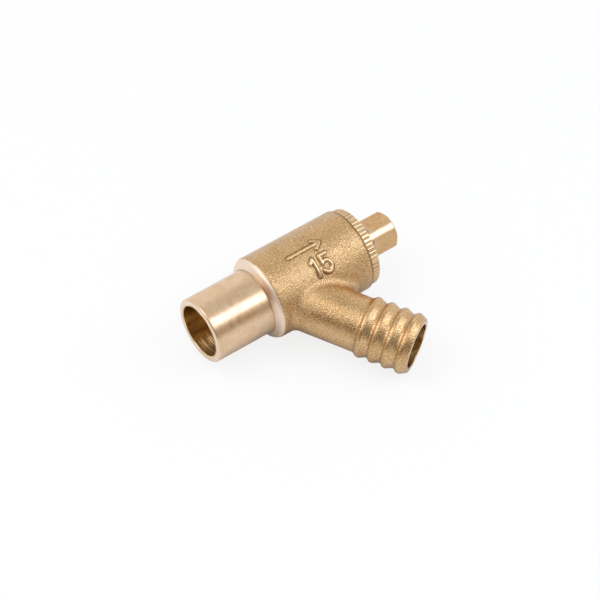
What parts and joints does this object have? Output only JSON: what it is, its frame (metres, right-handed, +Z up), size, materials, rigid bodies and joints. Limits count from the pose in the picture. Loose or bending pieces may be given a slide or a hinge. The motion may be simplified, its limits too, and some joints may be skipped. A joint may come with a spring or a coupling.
{
  "type": "drain cock",
  "caption": "Brass drain cock: plain pipe spigot, barrel with a serrated gland cap and square-headed screw spindle, and a slanting barbed hose tail.",
  "frame": {"origin": "centre of the spigot's mouth, on the body's axis", "axes": "+X along the body's axis from the spigot to the spindle, +Z up as the cock lies on its side, tail towards -Y and +X"},
  "size_m": [0.0506, 0.0414, 0.0191],
  "materials": {
    "stamped_brass": "hot-stamped and blasted, with a turned spigot",
    "turned_brass": "turned",
    "rubber": "moulded"
  },
  "bodies": {
    "valve": {"valve_body": "stamped_brass", "gland_cap": "turned_brass", "gland_o_ring": "rubber"},
    "washer": {"valve_washer": "rubber"},
    "spindle": {"spindle": "turned_brass"}
  },
  "joints": [
    {"name": "spindle_lift", "type": "slide", "parent": "valve", "child": "washer", "axis": [1, 0, 0], "range_m": [0, 0.004]},
    {"name": "spindle_turn", "type": "hinge", "parent": "washer", "child": "spindle", "pos_m": [0.0476, 0, 0], "axis": [1, 0, 0], "range_deg": [0, 960]}
  ],
  "couplings": [
    {"joint": "spindle_turn", "follows": "spindle_lift", "rad_per_m": 4188.8}
  ]
}
